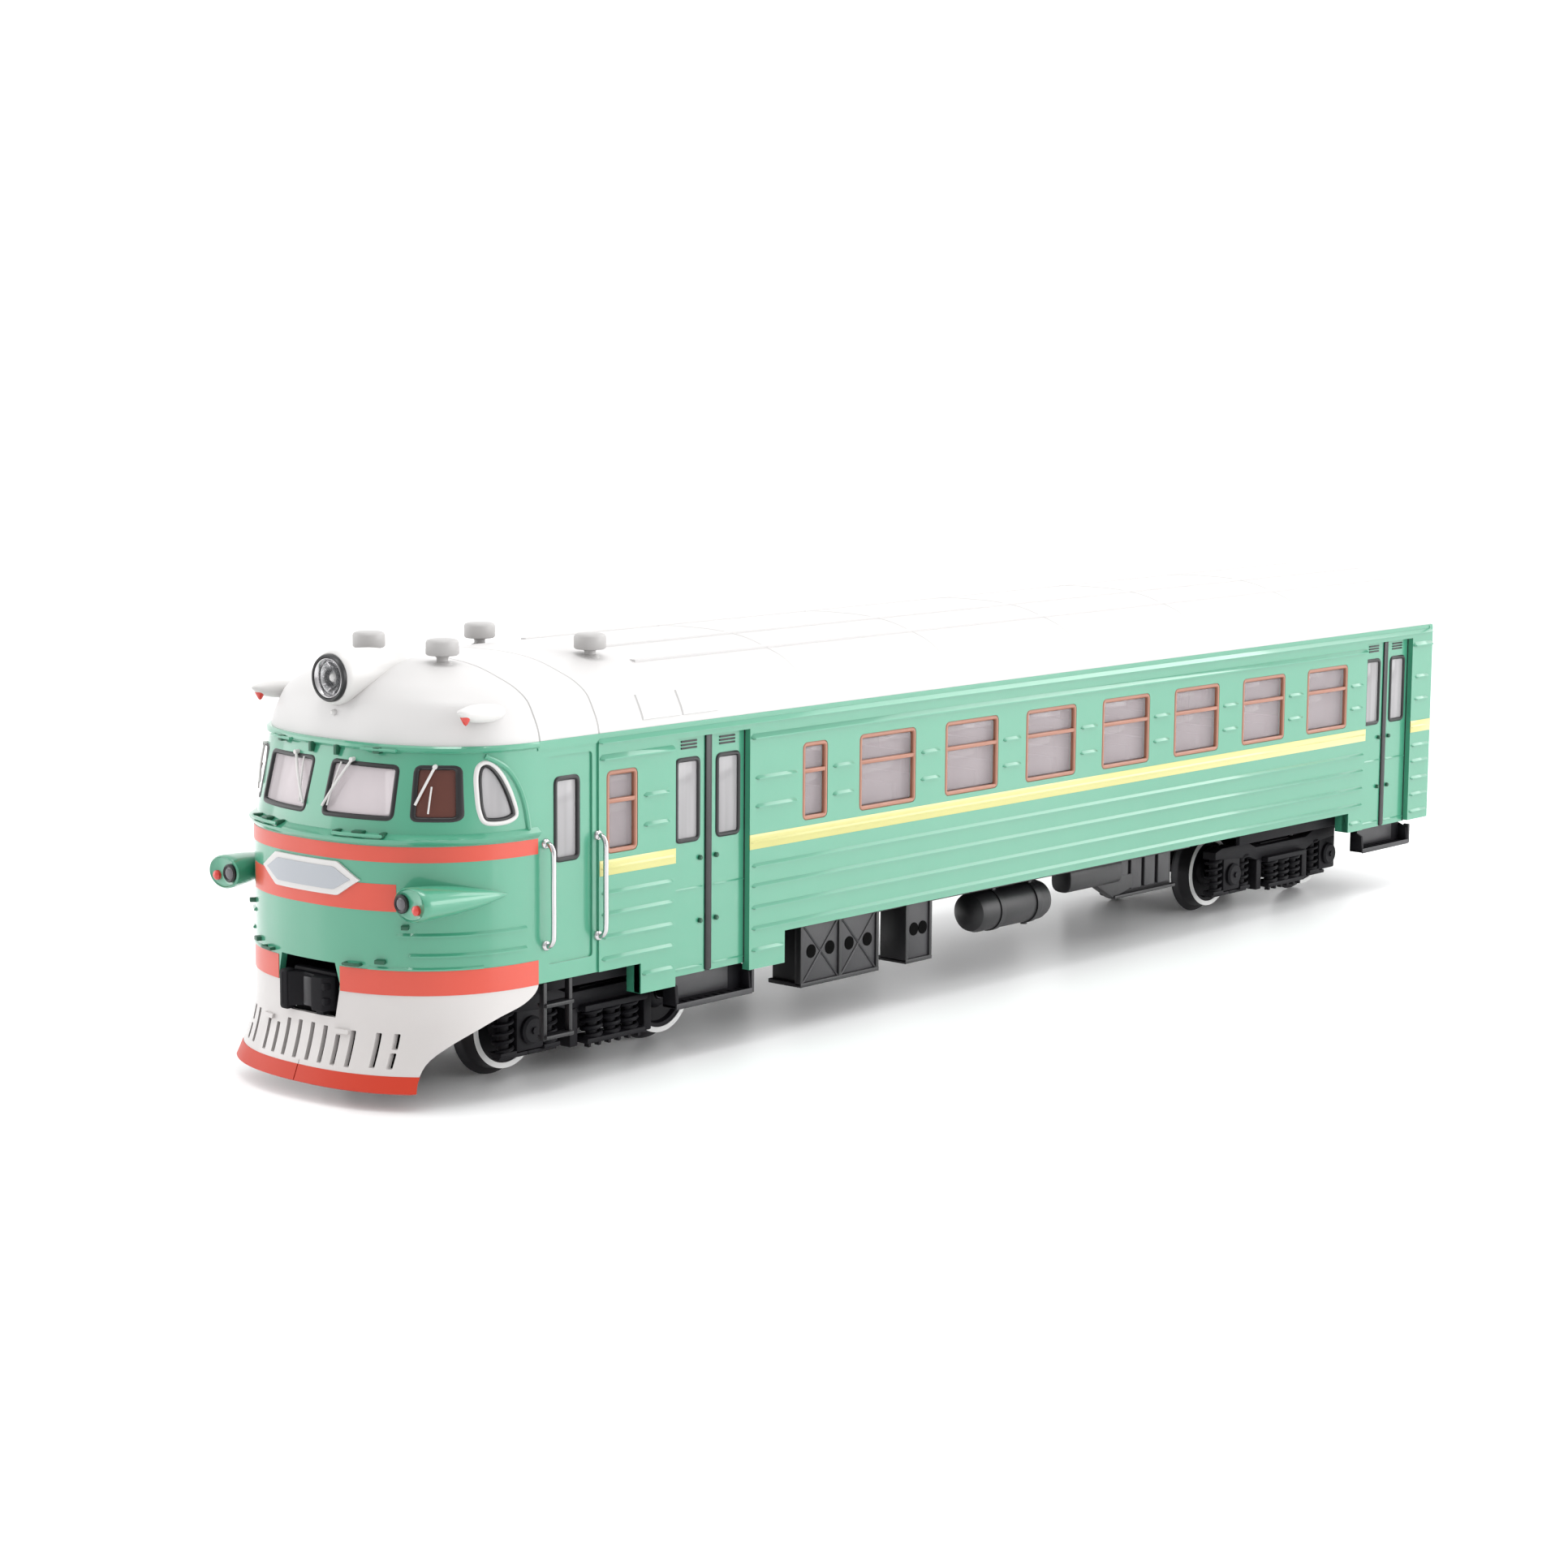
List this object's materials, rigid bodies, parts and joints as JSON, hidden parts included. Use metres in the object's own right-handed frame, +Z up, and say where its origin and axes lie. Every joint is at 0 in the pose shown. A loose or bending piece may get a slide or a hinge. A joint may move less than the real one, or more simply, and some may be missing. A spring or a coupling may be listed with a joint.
{
  "type": "model train",
  "caption": "1:87 scale electric multiple unit driving trailer with swinging bogies, turning wheelsets and swinging couplers.",
  "frame": {"origin": "middle of the overall length, on the centre line, at the lowest point of the wheel flanges", "axes": "+X to the cab end, +Y to the vehicle's left side, +Z up"},
  "size_m": [0.2314, 0.0434, 0.054],
  "materials": {
    "green_body": "satin paint",
    "white_roof": "satin",
    "white_trim": "satin",
    "skirt_white": "satin",
    "clear_glazing": "clear",
    "chrome": "polished",
    "clear_lens": "clear",
    "red_lens": "gloss",
    "black_rubber": "matt",
    "brown_interior": "matt",
    "steel": "turned",
    "board_green": "matt",
    "black_plastic": "semi-matt"
  },
  "bodies": {
    "car_body": {"air_reservoir_left": "black_plastic", "air_reservoir_right": "black_plastic", "ballast_weight": "steel", "body_shell": "green_body", "buffer_lamp_left": "green_body", "buffer_lamp_right": "green_body", "cab_handrail_front_left": "chrome", "cab_handrail_front_right": "chrome", "cab_handrail_rear_left": "chrome", "cab_handrail_rear_right": "chrome", "cab_interior": "brown_interior", "cab_ladder_left": "black_plastic", "cab_ladder_right": "black_plastic", "chassis_frame": "black_plastic", "clear_lens_left": "clear_lens", "clear_lens_right": "clear_lens", "front_pivot_screw": "steel", "front_skirt": "skirt_white", "gangway_bellows": "black_rubber", "headlight_bezel": "black_plastic", "headlight_housing": "white_trim", "headlight_lens": "clear_lens", "lighting_board": "board_green", "marker_lamp_left": "white_trim", "marker_lamp_right": "white_trim", "marker_lens_left": "red_lens", "marker_lens_right": "red_lens", "rear_pivot_screw": "steel", "red_lens_left": "red_lens", "red_lens_right": "red_lens", "roof_shell": "white_roof", "roof_vent_front_left": "white_trim", "roof_vent_front_right": "white_trim", "roof_vent_rear_left": "white_trim", "roof_vent_rear_right": "white_trim", "seat_moulding": "brown_interior", "side_glazing_left": "clear_glazing", "side_glazing_right": "clear_glazing", "underframe_equipment_left": "black_plastic", "underframe_equipment_right": "black_plastic", "windscreen_glazing": "clear_glazing", "wiper_left": "white_trim", "wiper_right": "white_trim"},
    "wheelset_1": {"axle_1": "steel", "wheel_1_left": "steel", "wheel_1_right": "steel"},
    "wheelset_2": {"axle_2": "steel", "wheel_2_left": "steel", "wheel_2_right": "steel"},
    "wheelset_3": {"axle_3": "steel", "wheel_3_left": "steel", "wheel_3_right": "steel"},
    "wheelset_4": {"axle_4": "steel", "wheel_4_left": "steel", "wheel_4_right": "steel"},
    "front_bogie": {"front_bogie_frame": "black_plastic"},
    "rear_bogie": {"rear_bogie_frame": "black_plastic"},
    "front_coupler_body": {"front_coupler": "black_plastic"},
    "rear_coupler_body": {"rear_coupler": "black_plastic"}
  },
  "joints": [
    {"name": "front_bogie_swing", "type": "hinge", "parent": "car_body", "child": "front_bogie", "pos_m": [0.0768, 0, 0.008], "axis": [0, 0, 1], "range_deg": [-8, 8]},
    {"name": "rear_bogie_swing", "type": "hinge", "parent": "car_body", "child": "rear_bogie", "pos_m": [-0.0761, 0, 0.008], "axis": [0, 0, 1], "range_deg": [-8, 8]},
    {"name": "wheelset_1_turn", "type": "hinge", "parent": "front_bogie", "child": "wheelset_1", "pos_m": [0.0906, 0, 0.0065], "axis": [0, 1, 0], "continuous": true},
    {"name": "wheelset_2_turn", "type": "hinge", "parent": "front_bogie", "child": "wheelset_2", "pos_m": [0.063, 0, 0.0065], "axis": [0, 1, 0], "continuous": true},
    {"name": "wheelset_3_turn", "type": "hinge", "parent": "rear_bogie", "child": "wheelset_3", "pos_m": [-0.0623, 0, 0.0065], "axis": [0, 1, 0], "continuous": true},
    {"name": "wheelset_4_turn", "type": "hinge", "parent": "rear_bogie", "child": "wheelset_4", "pos_m": [-0.0899, 0, 0.0065], "axis": [0, 1, 0], "continuous": true},
    {"name": "front_coupler_swing", "type": "hinge", "parent": "car_body", "child": "front_coupler_body", "pos_m": [0.1008, 0, 0.0127], "axis": [0, 0, 1], "range_deg": [-4, 4]},
    {"name": "rear_coupler_swing", "type": "hinge", "parent": "car_body", "child": "rear_coupler_body", "pos_m": [-0.1017, 0, 0.0086], "axis": [0, 0, 1], "range_deg": [-12, 12]}
  ]
}
